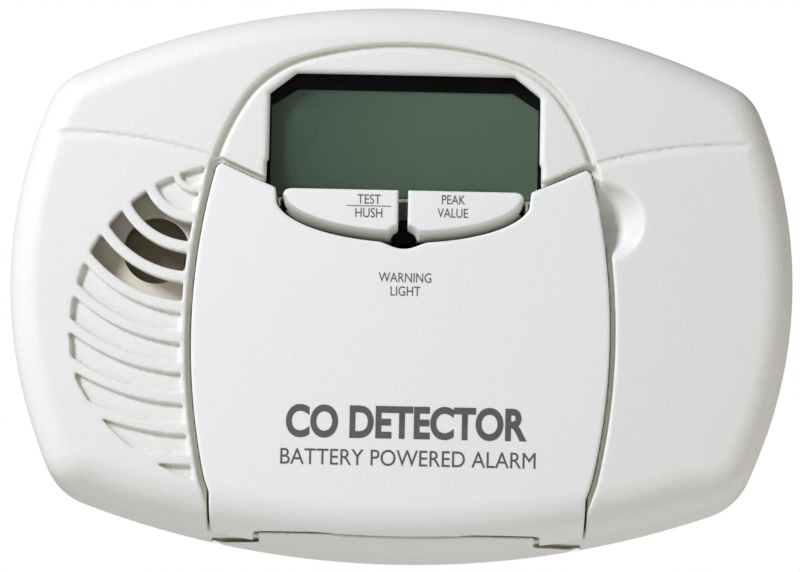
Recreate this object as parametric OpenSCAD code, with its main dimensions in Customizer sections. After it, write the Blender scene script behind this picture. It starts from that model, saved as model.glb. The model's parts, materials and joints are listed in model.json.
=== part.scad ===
// Battery carbon monoxide alarm with a flip-down battery door, on its wall bracket.
// Millimetres, +Z up, the front looks along -Y, and the wall is the plane Y = 0.

/* [Case] */
// Overall width
body_w = 146; // [140:1:152]
// Height of the case's top edge above the wall centre
top_z = 51.3; // [50:0.1:53]
// Depth of the case's bottom edge below the wall centre
bottom_z = 51.8; // [50.5:0.1:53]
// Depth from the wall to the middle of the door
depth = 38; // [37.5:0.5:40]
// Wall thickness of the mouldings
wall = 2.2; // [1.9:0.1:2.4]
// Radius of the gently domed front
dome_r = 1200; // [1000:50:2000]

/* [Front] */
// Width of the gap round the door and of the arch groove
gap = 1.0; // [0.8:0.1:1.2]
// Half width of the display window
window_x = 24.6; // [24:0.1:25]
// Radius of the finger scoop beside the door
scoop_r = 6.9; // [6:0.1:7.5]
// Width of the bars between the sound slots
bar_w = 2; // [1.6:0.1:2.4]

/* [Inside] */
// Battery radius
cell_r = 7.2; // [7:0.05:7.25]
// Battery length without its button
cell_l = 49.2; // [49:0.1:49.5]
// Radius of the gas sensor can
sensor_r = 8.5; // [7:0.5:9]

/* [Wall bracket] */
// Distance between the two wall screws
screw_gap = 60; // [50:1:64]
// Radius of the two wall screw holes
screw_hole_r = 2.25; // [2:0.05:2.5]
// How far the alarm lifts to come off its hooks
lift = 6; // [5:0.5:7]

/* [Hidden] */
fine = 64;
case_z0 = -0.5;
R_top = 146;
R_side = 85;
R_bottom = 174;
R_corner = 12;
side_draft = 1.5;
roll = 6;
parting_y = -8;
widest_y = -10;
front_y = -depth;
hinge_y = -34.1;
hinge_z = -46.5;
door_edge_r = 0.85;
door_side_gap = 0.35;
tab_x = 30;
tab_w = 8;
tab_r = 8.4;
rebate_y = -36.3;
well_y = -34.4;
slot_deep = 1.2;
board_y = -20;
button_x = 22;
stem_z = 10.2;
lens_y = -34.7;
cell_top_z = -9.6;
cell_low_z = -25.2;
cell_y = -23.2;
scoop_x = 36.6;
scoop_z = 10.8;
scoop_y = front_y - 2.3;
scoop_sphere = 1.085;
port_x = -44.9;
port_z = 4.2;
port_r = 6.05;
cup_x = -46.3;
cup_z = 2.6;
sensor_x = 51;
sensor_z = 21;
steps = 6;

// Outline made of tangent arcs, drawn inwards by d
function meet(p, rp, q, rq) = let(v = q - p, l = norm(v), a = (rp * rp - rq * rq + l * l) / (2 * l),
  h = sqrt(rp * rp - a * a)) p + v / l * a + [v[1], -v[0]] / l * h;
top_c = [0, top_z - R_top];
side_c = [body_w / 2 - R_side, case_z0];
low_c = [0, R_bottom - bottom_z];
upper_c = meet(top_c, R_top - R_corner, side_c, R_side - R_corner);
lower_c = meet(side_c, R_side - R_corner, low_c, R_bottom - R_corner);
function angle_to(a, b) = atan2(b[1] - a[1], b[0] - a[0]);
a_top = angle_to(top_c, upper_c);
a_side = angle_to(side_c, upper_c);
a_low = angle_to(side_c, lower_c);
a_bottom = angle_to(low_c, lower_c);
// Each rim station is [centre, radius, angle]; the right half runs from the top to the bottom
function stations(c, r, from, to, n) = [for (i = [0:n - 1]) [c, r, from + (to - from) * i / n]];
half_rim = concat(stations(top_c, R_top, 90, a_top, steps), stations(upper_c, R_corner, a_top, a_side, steps),
  stations(side_c, R_side, a_side, a_low, steps + 2), stations(lower_c, R_corner, a_low, a_bottom, steps),
  stations(low_c, R_bottom, a_bottom, -90, steps + 2), [[low_c, R_bottom, -90]]);
function rim_point(s, d) = s[0] + (s[1] - d) * [cos(s[2]), sin(s[2])];
function mirrored(pts) = concat(pts, [for (i = [len(pts) - 2:-1:1]) [-pts[i][0], pts[i][1]]]);
function rim(d) = mirrored([for (s = half_rim) rim_point(s, d)]);
rim_angles = concat([for (s = half_rim) s[2]], [for (i = [len(half_rim) - 2:-1:1]) half_rim[i][2]]);
count = len(rim_angles);

// The bottom edge slopes more than the sides do
function slope(i) = pow(max(0, -sin(rim_angles[i])), 6);
function dome(x, z) = (x * x + z * z) / (2 * dome_r);
// Ring t inside the skin at fillet angle a: 90 is the front, 0 the side
function ring_d(i, t, a) = side_draft + t + (roll + 3.5 * slope(i) - t) * (1 - sin(a));
function ring_e(i, t, a) = (roll + 7 * slope(i) - t) * (1 - cos(a));
function one_point(i, d) = let(k = i < len(half_rim) ? i : count - i,
  p = rim_point(half_rim[k], d)) [i < len(half_rim) ? p[0] : -p[0], p[1]];
function ring(t, a) = [for (i = [0:count - 1]) let(p = one_point(i, ring_d(i, t, 90 - a)))
  [p[0], front_y + t + dome(p[0], p[1]) + ring_e(i, t, 90 - a), p[1]]];
function scaled(t, s) = [for (p = ring(t, 90)) [p[0] * s, front_y + t + dome(p[0] * s, p[2] * s), p[2] * s]];
function back_ring(t, y, d) = [for (p = rim(d + t)) [p[0], y, p[1]]];

// Closed pillow: the case's outside moved in by t, ending at the plane back_y
module pillow(t, back_y) {
  rings = concat([scaled(t, 0.3)], [scaled(t, 0.65)], [for (a = [0:15:90]) ring(t, 90 - a)],
    [back_ring(t, widest_y, 0)], [back_ring(t, back_y, 0)]);
  n = len(rings);
  pts = concat([for (r = rings) each r], [[0, front_y + t, 0], [0, back_y, 0]]);
  walls = [for (k = [0:n - 2], i = [0:count - 1]) let(j = (i + 1) % count, a = k * count + i,
    b = k * count + j, c = a + count, d = b + count) each [[a, c, b], [b, c, d]]];
  caps = [for (i = [0:count - 1]) let(j = (i + 1) % count) each [[n * count, i, j],
    [(n - 1) * count + i, n * count + 1, (n - 1) * count + j]]];
  polyhedron(pts, concat(walls, caps));
}

// Arch line round the display and down the door's sides
arch_z = 42;
arch = [[64.5, 17.2, 5], [18.5, 39.8, 7], [42.5, 18.7, 4], [120, 36, 9]];
function arch_from(k, p, a, off) = k == len(arch) ? [] :
  let(r = arch[k][0], s = arch[k][1], n = arch[k][2],
  c = p - r * [sin(a), cos(a)])
  concat([for (i = [1:n]) c + (r + off) * [sin(a + s * i / n), cos(a + s * i / n)]],
  arch_from(k + 1, c + r * [sin(a + s), cos(a + s)], a + s, off));
function arch_half(off) = concat([[0, arch_z + off]], arch_from(0, [0, arch_z], 0, off));
function below(pts, z) = [for (p = pts) if (p[1] < z) p];
function flip(pts) = [for (i = [len(pts) - 1:-1:0]) [-pts[i][0], pts[i][1]]];
module both(pts) { polygon(concat(pts, flip(pts))); }
// Puts a drawing of the front into place, from y0 back to y1
module slab(y0, y1) { translate([0, y1, 0]) rotate([90, 0, 0]) linear_extrude(y1 - y0) children(); }
module tube_y(x, z, r, y0, y1) { translate([x, y1, z]) rotate([90, 0, 0]) cylinder(r = r, h = y1 - y0, $fn = fine); }
module block(x0, x1, y0, y1, z0, z1) { translate([x0, y0, z0]) cube([x1 - x0, y1 - y0, z1 - z0]); }

// Curved lower edge of the button bay, g outside the buttons' own line
function smile(g) = [for (a = [0:9:81]) [(23.2 + g) * sin(a), 14 - (8 + g) * cos(a)]];
door_low_z = -47;
module door_face(g) {
  both(concat([for (p = smile(-g)) p], [[23.2 - g, 15.6 + g], [24.2, 16.1 + g], [29, 18.2 + g], [33.2, 20 + g],
    [34 + g, 19.2 + g]], below(arch_half(g - 0.5), 18.5), [[31.5 + g, door_low_z - 6]]));
}
// Shallow V line running from the arch to each side
module v_line() {
  arc_r = 93;
  for (s = [-1, 1]) for (i = [0:8]) hull() for (k = [i, i + 1]) {
    a = -17.5 + k * 2.1;
    x = 62 + arc_r * sin(a);
    z = 25.3 - arc_r * (1 - cos(a));
    translate([s * x, front_y + dome(x, z) + (k == 9 ? 0.5 : 0), z])
      rotate([45, 0, 0]) cube([0.1, 0.75, 0.75], center = true);
  }
}

// Sound slots: rings round a point up and right of the grille, clipped to a leaf shape
module grille(first, last) {
  intersection() {
    translate([-38, 18.5]) for (k = [first:last]) difference() {
      circle(r = k == 1 ? 2.6 : 7.5 + 5.5 * (k - 2) - (2 - bar_w), $fn = fine);
      if (k > 1) circle(r = 4 + 5.5 * (k - 2), $fn = fine);
    }
    translate([-29.5, -10.5]) circle(r = 30.4, $fn = fine);
    translate([-26.8, -3.2]) circle(r = 35.8, $fn = fine);
    polygon(concat([[-70, -40]], flip([for (p = below(arch_half(1.4), 20.5)) if (p[1] > -38.5) p]), [[-70, 30]]));
  }
}

// A round bar on the door's hinge line, centred at x
module hinge_bar(x, r, w, sides) {
  translate([x, hinge_y, hinge_z]) rotate([0, 90, 0]) cylinder(r = r, h = w, $fn = sides, center = true);
}

boss_at = [[-60, 30], [60, 30], [-58, -31], [58, -31]];
module front_housing() {
  color([0.9, 0.9, 0.88]) difference() {
    union() {
      difference() {
        pillow(0, parting_y);
        pillow(wall, parting_y + 1);
      }
      intersection() {
        pillow(0.4, parting_y);
        union() {
          // ledge and skirt behind the door gap
          difference() {
            slab(-40, -31.5) both(concat([[0, 3.5]], [[24, 13], [34, 18]], below(arch_half(2.6), 18), [[33, -49.8]]));
            slab(-41, -30) both(concat([[0, 2]], [[22, 11], [31.5, 16]], below(arch_half(-3.5), 16), [[30, -40]]));
            block(-13, 13, -41, -30, 1, 9);
          }
          // floor behind the blind sound slots, and the scoop's shell
          slab(-40, -33.2) intersection() {
            translate([-29.5, -10.5]) circle(r = 32.2, $fn = fine);
            translate([-36.5 - 30, -38]) square([29, 58.5]);
          }
          translate([scoop_x, scoop_y, scoop_z]) sphere(r = scoop_r * scoop_sphere + 1.5, $fn = 48);
          // seat for the window lens
          difference() {
            slab(-40, lens_y - 0.2) polygon([[-27, 38.9], [27, 38.9], [27, 16.5], [-27, 16.5]]);
            slab(-41, -30) polygon([[-25, 37.1], [25, 37.1], [25, 8], [-25, 8]]);
          }
          for (p = boss_at) tube_y(p[0], p[1], 3.2, -36, parting_y - 1);
        }
      }
    }
    // door well: a shallow rebate round the door, and full depth behind it
    slab(-41, rebate_y) door_face(gap - 0.1);
    slab(-41, well_y) door_face(door_side_gap);
    intersection() {
      slab(-41, -24) door_face(door_side_gap);
      block(-45, 45, -42, -20, hinge_z - door_side_gap, -37);
    }
    // window and button bay
    slab(-36, -30.2) both(concat([[0, 2.5]], [[22, 11], [31.5, 16]], below(arch_half(-3.5), 16), [[30, -40]]));
    slab(-41, -31) both([[0, 36.8], [19.8, 36.8], [window_x, 33], [window_x, 15], [23.8, 14]]);
    slab(-41, -30.5) both(concat([[0, 15.5], [23.8, 15.5]], [for (i = [9:-1:0]) smile(0.4)[i]]));
    // room for the door's lower edge and hooks to swing
    hinge_bar(0, door_edge_r + 0.4, 51, 24);
    for (s = [-1, 1]) hinge_bar(s * tab_x, tab_r + 0.7, tab_w + 1.4, 48);
    // arch groove, V lines, scoop and slots
    intersection() {
      slab(-41, front_y + 1.5) difference() {
        both(concat(arch_half(gap / 2), [[0, -48]]));
        both(concat(arch_half(-gap / 2), [[0, -50]]));
      }
      difference() {
        pillow(-1, parting_y);
        pillow(0.9, parting_y);
      }
      block(-50, 50, -45, -20, 16, 50);
    }
    v_line();
    translate([scoop_x, scoop_y, scoop_z]) sphere(r = scoop_r * scoop_sphere, $fn = 48);
    difference() {
      slab(-41, -33.4) grille(1, 11);
      pillow(slot_deep, parting_y);
    }
    slab(-41, -30) grille(3, 5);
    for (p = boss_at) tube_y(p[0], p[1], 1.1, -32, parting_y + 1);
  }
}

module battery_door() {
  color([0.93, 0.94, 0.94]) difference() {
    union() {
      intersection() {
        difference() {
          pillow(0, parting_y);
          pillow(wall, parting_y);
        }
        union() {
          intersection() {
            slab(-41, -25) door_face(0);
            union() {
              block(-45, 45, -42, -20, hinge_z, 25);
              hinge_bar(0, door_edge_r, 90, 24);
            }
          }
          for (s = [-1, 1]) hinge_bar(s * tab_x, tab_r, tab_w, 48);
        }
      }
      // stiffening ribs that taper inwards, and the snap tongue
      for (x = [-24, -14, 14, 24], half = [[-38, -20], [-20.2, 0]]) hull() {
        block(x - 0.7, x + 0.7, front_y + wall - 0.4, front_y + wall, half[0], half[1]);
        block(x - 0.4, x + 0.4, front_y + wall, -33.4, half[0] + 1, half[1] - 1);
      }
      hull() {
        block(-5, 5, front_y + wall - 0.4, -35.4, 0.2, 1.6);
        block(-4, 4, -33, -32, 0.5, 1.4);
      }
    }
    block(-45, 45, -33.3, -31, -39, -36);
  }
}

module rear_housing() {
  color([0.88, 0.88, 0.86]) difference() {
    union() {
      slab(-7.8, -1) polygon(rim(0.4));
      // lip that locates the front moulding
      difference() {
        slab(-10, -7.8) polygon(rim(wall + 0.25));
        slab(-11, -7) polygon(rim(wall + 1.7));
      }
    }
    difference() {
      slab(-10.5, -5) polygon(rim(wall + 1.7));
      for (p = boss_at) tube_y(p[0], p[1], 3.2, parting_y - 0.9, -4);
      for (s = [-1, 1]) tube_y(s * 53, 18, 2.6, board_y + 1.52, -4);
      for (s = [-1, 1]) tube_y(s * 53, 18, 1.1, board_y + 0.1, -4);
    }
    slab(-3, 0) polygon(rim(3));
    for (s = [-1, 1], z = [-22, 18]) block(s * 40 - 4.2, s * 40 + 4.2, -6, -2, z - lift - 0.4, z + 3.2);
    for (p = boss_at) tube_y(p[0], p[1], 1.6, -9, -2);
  }
}

module wall_bracket() {
  color([0.86, 0.86, 0.84]) difference() {
    union() {
      block(-52, 52, -2.4, 0, -33, 33);
      for (s = [-1, 1], z = [-22, 18]) {
        block(s * 40 - 3.8, s * 40 + 3.8, -7.2, -2.2, z, z + 3);
        block(s * 40 - 3.8, s * 40 + 3.8, -7.2, -5.4, z, z + 3 + lift - 0.6);
      }
    }
    for (s = [-1, 1]) tube_y(s * screw_gap / 2, 0, screw_hole_r, -3, 1);
    block(-16, 16, -3, 1, -14, 14);
  }
}

// Lens-shaped key: straight top, curved lower edge, sloped skirt
function key_edge(in) = [for (a = [90 - 87:12:90 - 3]) [(23.2 - in) * sin(a), 14 - (8 - in) * cos(a)]];
module key(s) {
  intersection() {
    pillow(-0.05, parting_y);
    hull() {
      slab(front_y + 0.1, front_y + 0.6) key_face(s, 1.7, 0.6);
      slab(front_y + 2, front_y + 2.4) key_face(s, 0.25, 0);
    }
  }
}
module key_face(s, in, side) {
  pts = [for (p = key_edge(in)) if (p[0] > 0.9 + side && p[0] < button_x - side && p[1] < 15.2 - side) p];
  scale([s, 1]) polygon(concat([[0.9 + side, 15.6 - side], [0.9 + side, pts[0][1] + 0.2]], pts,
    [[button_x - side, 14.6 - side], [button_x - 1 - side, 15.6 - side]]));
}
module button(s) {
  key(s);
  tube_y(s * 8, stem_z, 1.3, front_y + 2.3, -26.15);
}
module test_button() {
  color([0.92, 0.93, 0.93]) button(-1);
}
module peak_button() {
  color([0.92, 0.93, 0.93]) button(1);
}

module window_lens() {
  color([0.75, 0.8, 0.78, 0.4]) slab(lens_y, lens_y + 1.2)
    both([[0, 37.6], [26, 37.6], [26, 15.6], [21, 12.3]]);
}
module lcd_panel() {
  color([0.4, 0.47, 0.41]) slab(lens_y + 1.4, lens_y + 3.9) both([[0, 36.6], [25, 36.6], [25, 14.6]]);
}
module display_holder() {
  color([0.9, 0.9, 0.88]) difference() {
    union() {
      slab(lens_y + 1.4, board_y - 0.02) both([[0, 38.6], [27.5, 38.6], [27.5, 16.4], [24, 13.8]]);
      slab(-29.8, -27.2) both([[0, 15], [14, 15], [14, 6.8]]);
    }
    slab(-34, lens_y + 4.1) both([[0, 36.8], [25.2, 36.8], [25.2, 14.4]]);
    slab(-31, -19) both([[0, 32.6], [23.5, 32.6], [23.5, 18.6]]);
    for (z = [34.2, 15.6]) block(-23.5, 23.5, -31, -19, z, z + 1.6);
    for (s = [-8, 8]) tube_y(s, stem_z, 1.6, -31, -26);
    tube_y(0.2, 8.2, 2.5, -31, -26);
  }
}
module contact_strips() {
  color([0.75, 0.4, 0.55]) for (z = [34.4, 15.8]) block(-23, 23, lens_y + 3.95, board_y - 0.05, z, z + 1.2);
}

module main_board() {
  color([0.1, 0.4, 0.2]) difference() {
    slab(board_y, board_y + 1.5) polygon([[-54, 32], [-38, 39], [38, 39], [54, 32], [61, 14], [61, -14], [33, -14],
      [33, 1], [-33, 1], [-33, -14], [-61, -14], [-61, 14]]);
    for (x = [-53, 53]) tube_y(x, 18, 1.2, -21, -18);
  }
}
module switch_bodies() {
  color([0.2, 0.2, 0.22]) for (s = [-8, 8]) difference() {
    block(s - 3, s + 3, -23.4, board_y - 0.02, stem_z - 3, stem_z + 3);
    tube_y(s, stem_z, 2, -24, -21.4);
  }
}
module plunger(s) {
  tube_y(s * 8, stem_z, 1.7, -26.1, -22.4);
}
module test_plunger() {
  color([0.85, 0.83, 0.75]) plunger(-1);
}
module peak_plunger() {
  color([0.85, 0.83, 0.75]) plunger(1);
}
module status_leds() {
  color([0.75, 0.15, 0.12]) for (z = [6.9, 9.4]) {
    tube_y(0.2, z, 0.95, -23.6, board_y - 0.02);
    translate([0.2, -23.6, z]) sphere(r = 0.95, $fn = 32);
  }
}
module led_guide() {
  color([0.12, 0.12, 0.13, 0.8]) tube_y(0.2, 8.2, 2.2, lens_y, -25);
}

module battery_tray() {
  color([0.2, 0.2, 0.21]) difference() {
    union() {
      block(-30.5, 30.5, -31, -14, -34, -0.9);
      for (x = [-30.5, 26.5], z = [-34, -4.9]) block(x, x + 4, -15, -5.02, z, z + 4);
    }
    block(-29.2, 29.2, -32, -15.6, cell_low_z - 7.5, cell_top_z + 7.5);
  }
}
module cell(z, s) {
  translate([0, cell_y, z]) rotate([0, s * 90, 0]) {
    translate([0, 0, -cell_l / 2]) cylinder(r = cell_r, h = cell_l, $fn = fine);
    translate([0, 0, cell_l / 2 - 0.1]) cylinder(r = 2.7, h = 1.3, $fn = fine);
  }
}
module batteries() {
  color([0.75, 0.55, 0.25]) {
    cell(cell_top_z, 1);
    cell(cell_low_z, -1);
  }
}
// Flat-wound contact springs, drawn as stacked rings
module coil(x, z, s) {
  for (i = [0:2]) translate([x + s * (0.4 + i * 1.05), cell_y, z]) rotate([0, 90, 0])
    rotate_extrude($fn = 32) translate([4.6 - i * 0.9, 0]) circle(r = 0.4, $fn = 12);
  for (i = [0:1]) translate([x + s * (0.9 + i * 1.05) - 0.55, cell_y + 4.1 - i * 0.9, z - 0.4]) cube([1.1, 0.6, 0.8]);
}
module spring_contacts() {
  color([0.8, 0.8, 0.78]) {
    coil(-28.3, cell_top_z, 1);
    coil(28.3, cell_low_z, -1);
    block(-29.1, -28.3, cell_y - 5.5, cell_y + 5.5, cell_top_z - 5.5, cell_top_z + 5.5);
    block(28.3, 29.1, cell_y - 5.5, cell_y + 5.5, cell_low_z - 5.5, cell_low_z + 5.5);
  }
}
module plate_contacts() {
  color([0.8, 0.8, 0.78]) {
    block(28.6, 29.1, cell_y - 5, cell_y + 5, cell_top_z - 5, cell_top_z + 5);
    block(-29.1, -28.6, cell_y - 5, cell_y + 5, cell_low_z - 5, cell_low_z + 5);
  }
}

module horn_cup() {
  color([0.75, 0.68, 0.55]) difference() {
    tube_y(cup_x, cup_z, 12.6, -31.2, board_y - 0.05);
    tube_y(cup_x, cup_z, 11.4, -29.9, -19);
    tube_y(port_x, port_z, port_r, -33, -29);
  }
}
module piezo_disc() {
  color([0.7, 0.55, 0.3]) {
    tube_y(cup_x, cup_z, 10, -26.2, -25.9);
    tube_y(cup_x, cup_z, 6.2, -26.5, -26.2);
  }
}
module gas_sensor() {
  color([0.75, 0.76, 0.78]) difference() {
    tube_y(sensor_x, sensor_z, sensor_r, -33.2, board_y - 0.02);
    tube_y(sensor_x, sensor_z, 2.2, -34, -30);
  }
}
module controller_chips() {
  color([0.12, 0.12, 0.13]) {
    block(-12, 0, -18.48, -16.6, 16, 28);
    block(10, 18, -18.48, -16.9, 20, 25);
  }
}
module capacitors() {
  color([0.2, 0.25, 0.5]) for (x = [26, 36]) tube_y(x, 26, 3.2, -18.48, -10.5);
}
module case_screws() {
  color([0.6, 0.6, 0.62]) for (p = boss_at) difference() {
    union() {
      tube_y(p[0], p[1], 1.05, -20, -2.9);
      tube_y(p[0], p[1], 2.7, -2.97, -1.3);
    }
    block(p[0] - 1.8, p[0] + 1.8, -2.1, -1, p[1] - 0.3, p[1] + 0.3);
    block(p[0] - 0.3, p[0] + 0.3, -2.1, -1, p[1] - 1.8, p[1] + 1.8);
  }
}
module hold_down_pad() {
  color([0.2, 0.2, 0.2]) block(-10, 10, front_y + wall + 0.4, -31.3, -26, -9);
}

front_housing();
battery_door();
rear_housing();
wall_bracket();
test_button();
peak_button();
window_lens();
display_holder();
lcd_panel();
contact_strips();
main_board();
switch_bodies();
test_plunger();
peak_plunger();
status_leds();
led_guide();
battery_tray();
batteries();
spring_contacts();
plate_contacts();
horn_cup();
piezo_disc();
gas_sensor();
controller_chips();
capacitors();
case_screws();
hold_down_pad();
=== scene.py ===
import bpy
import json
import math
import numpy as np
from mathutils import Vector, Matrix


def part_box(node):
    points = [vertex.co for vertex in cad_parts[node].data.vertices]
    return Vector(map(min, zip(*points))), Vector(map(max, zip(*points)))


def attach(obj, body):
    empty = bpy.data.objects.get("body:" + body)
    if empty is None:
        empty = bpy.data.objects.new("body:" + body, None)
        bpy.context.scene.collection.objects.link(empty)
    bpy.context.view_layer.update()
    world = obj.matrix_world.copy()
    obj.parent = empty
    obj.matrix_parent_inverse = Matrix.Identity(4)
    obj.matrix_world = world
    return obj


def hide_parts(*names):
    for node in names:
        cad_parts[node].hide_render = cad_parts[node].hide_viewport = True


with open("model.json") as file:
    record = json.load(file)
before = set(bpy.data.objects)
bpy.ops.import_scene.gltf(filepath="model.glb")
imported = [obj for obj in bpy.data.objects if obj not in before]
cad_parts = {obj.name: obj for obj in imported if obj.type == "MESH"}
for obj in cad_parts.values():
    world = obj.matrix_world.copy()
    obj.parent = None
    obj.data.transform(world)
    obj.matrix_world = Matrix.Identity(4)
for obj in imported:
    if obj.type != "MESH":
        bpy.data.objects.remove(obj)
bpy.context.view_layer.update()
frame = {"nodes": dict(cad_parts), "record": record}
mm = 0.001
beyond = 99.0     # a distance past any piece, in mm


def boxMm(node):
    low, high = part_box(node)
    return [c / mm for c in low], [c / mm for c in high]


caseLow, caseHigh = boxMm("front_housing")
doorLow, doorHigh = boxMm("battery_door")
lensLow, lensHigh = boxMm("window_lens")

# the case's own lines
case = dict(
    topRadius=146, sideRadius=85, bottomRadius=174, cornerRadius=12,
    sideMiddle=-0.5,          # height of the widest point
    sideDraft=1.5,            # how far the walls lean in towards the front
    draftStart=-10,           # where that lean begins
    frontRoll=6.0,            # rounding from the face into the walls
    lowRollUp=3.5, lowRollBack=7.0,     # how much longer that rounding is along the bottom
    domeRadius=1200,
    wall=2.2,
    rollBlend=3.0,            # how gently the bottom's longer rounding meets the sides
    skinBack=0.05,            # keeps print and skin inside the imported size
)
faceY = doorLow[1] + case["skinBack"]
backY = caseHigh[1]
topCentre = np.array([0.0, caseHigh[2] - case["topRadius"]])
lowCentre = np.array([0.0, caseLow[2] + case["bottomRadius"]])
sideCentre = np.array([caseHigh[0] - case["sideRadius"], case["sideMiddle"]])


def meetingPoint(p, rp, q, rq):
    v = q - p
    gap = np.hypot(*v)
    a = (rp * rp - rq * rq + gap * gap) / (2 * gap)
    h = math.sqrt(rp * rp - a * a)
    return p + v / gap * a + np.array([v[1], -v[0]]) / gap * h


rc = case["cornerRadius"]
upperCentre = meetingPoint(topCentre, case["topRadius"] - rc, sideCentre, case["sideRadius"] - rc)
lowerCentre = meetingPoint(sideCentre, case["sideRadius"] - rc, lowCentre, case["bottomRadius"] - rc)


# how far inside the outline a point lies, and how much the outline faces down there
def rimInset(x, z):
    x = np.abs(x)

    def reach(c, r):
        dx, dz = x - c[0], z - c[1]
        dist = np.hypot(dx, dz)
        return r - dist, dz / np.maximum(dist, 1e-6), dx, dz

    inset, facing, _, _ = reach(sideCentre, case["sideRadius"])
    for centre, radius in ((topCentre, case["topRadius"]), (lowCentre, case["bottomRadius"])):
        d, n, _, _ = reach(centre, radius)
        pick = d < inset
        inset, facing = np.where(pick, d, inset), np.where(pick, n, facing)
    for corner, big, turn in ((upperCentre, topCentre, 1), (lowerCentre, lowCentre, -1)):
        dCorner, nCorner, cx, cz = reach(corner, rc)
        a = corner - big
        b = corner - sideCentre
        # the corner's sector lies between the two centre lines
        sideA = (a[0] * cz - a[1] * cx) * turn
        sideB = (b[0] * cz - b[1] * cx) * turn
        inSector = (sideA <= 0) & (sideB >= 0)
        inset, facing = np.where(inSector, dCorner, inset), np.where(inSector, nCorner, facing)
    return inset, facing


def dome(x, z):
    return (x * x + z * z) / (2 * case["domeRadius"])


# arch line: arcs from the top middle down one side, each (radius, degrees, steps)
archArcs = [(64.5, 17.2, 14), (18.5, 39.8, 18), (42.5, 18.7, 12), (120, 36, 24)]
archTop = 42.0


def archHalf(off):
    pts, p, a = [(0.0, archTop + off)], np.array([0.0, archTop]), 0.0
    for r, sweep, n in archArcs:
        c = p - r * np.array([math.sin(math.radians(a)), math.cos(math.radians(a))])
        for i in range(1, n + 1):
            t = math.radians(a + sweep * i / n)
            pts.append((c[0] + (r + off) * math.sin(t), c[1] + (r + off) * math.cos(t)))
        a += sweep
        p = c + r * np.array([math.sin(math.radians(a)), math.cos(math.radians(a))])
    return pts


def bothSides(half):
    return half + [(-x, z) for x, z in reversed(half)]


# distance from every (x, z) to an outline; negative inside a closed one
def distanceTo(points, x, z, closed=True):
    best = np.full(x.shape, 1e9, np.float32)
    inside = np.zeros(x.shape, bool)
    n = len(points)
    for i in range(n if closed else n - 1):
        ax, az = points[i]
        bx, bz = points[(i + 1) % n]
        ex, ez = bx - ax, bz - az
        size = ex * ex + ez * ez
        if size < 1e-12:
            continue
        t = np.clip(((x - ax) * ex + (z - az) * ez) / size, 0, 1)
        best = np.minimum(best, np.hypot(x - ax - t * ex, z - az - t * ez))
        if closed and az != bz:
            cross = ((az > z) != (bz > z)) & (x < (bx - ax) * (z - az) / (bz - az) + ax)
            inside ^= cross
    return np.where(inside, -best, best) if closed else best


def roundMax(a, b, r):
    u, v = np.maximum(a + r, 0), np.maximum(b + r, 0)
    return np.minimum(np.maximum(a, b), -r) + np.sqrt(u * u + v * v)


def boxBlur(values, reach, axis):
    wide = [(0, 0), (0, 0)]
    wide[axis] = (reach + 1, reach)
    total = np.cumsum(np.pad(values, wide, mode="edge"), axis=axis)
    n = values.shape[axis]
    span = 2 * reach + 1
    return (total.take(range(span, span + n), axis) - total.take(range(0, n), axis)) / span


# a block of space sampled on a grid, from which a moulded skin is taken
class Mould:
    def __init__(self, low, high, step):
        self.step = step
        self.low = np.array(low, float) - 1.5 * step
        n = np.ceil((np.array(high) + 1.5 * step - self.low) / step).astype(int) + 1
        xs, ys, zs = (self.low[k] + step * np.arange(n[k]) for k in range(3))
        x2, z2 = np.meshgrid(xs, zs, indexing="ij")
        self.x2, self.z2 = x2.astype(np.float32), z2.astype(np.float32)
        self.across, self.up = self.x2[:, None, :], self.z2[:, None, :]
        self.back = ys.astype(np.float32)[None, :, None]
        inset, facing = rimInset(x2, z2)
        self.inset = inset.astype(np.float32)[:, None, :]
        down = np.maximum(0, -facing) ** 6
        reach = int(round(case["rollBlend"] / step))
        for axis in (0, 1, 0, 1):
            down = boxBlur(down, reach, axis)
        self.down = down.astype(np.float32)[:, None, :]      # 1 where the outline faces down
        self.face = (faceY + dome(x2, z2)).astype(np.float32)[:, None, :]
        self.depth = self.back - self.face      # how far behind the domed face

    def flat(self, values):
        return values.astype(np.float32)[:, None, :]

    def outline(self, points):
        return self.flat(distanceTo(points, self.x2, self.z2))

    # the outside of the case; negative inside
    def caseSkin(self):
        ra = case["frontRoll"] + case["lowRollUp"] * self.down
        rb = case["frontRoll"] + case["lowRollBack"] * self.down
        start = case["draftStart"]
        lean = case["sideDraft"] * np.clip((start - self.back) / (start - (self.face + rb)), 0, 1)
        u = self.inset - lean
        v = self.depth
        a, b = np.maximum(ra - u, 0) / ra, np.maximum(rb - v, 0) / rb
        rounded = (np.sqrt(a * a + b * b) - 1) * np.where(a > b, ra, rb)
        both = (u < ra) & (v < rb)
        return np.where(both, rounded, np.maximum(-u, -v))

    def skin(self, field):
        return netOf(field, self.low, self.step)


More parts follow.
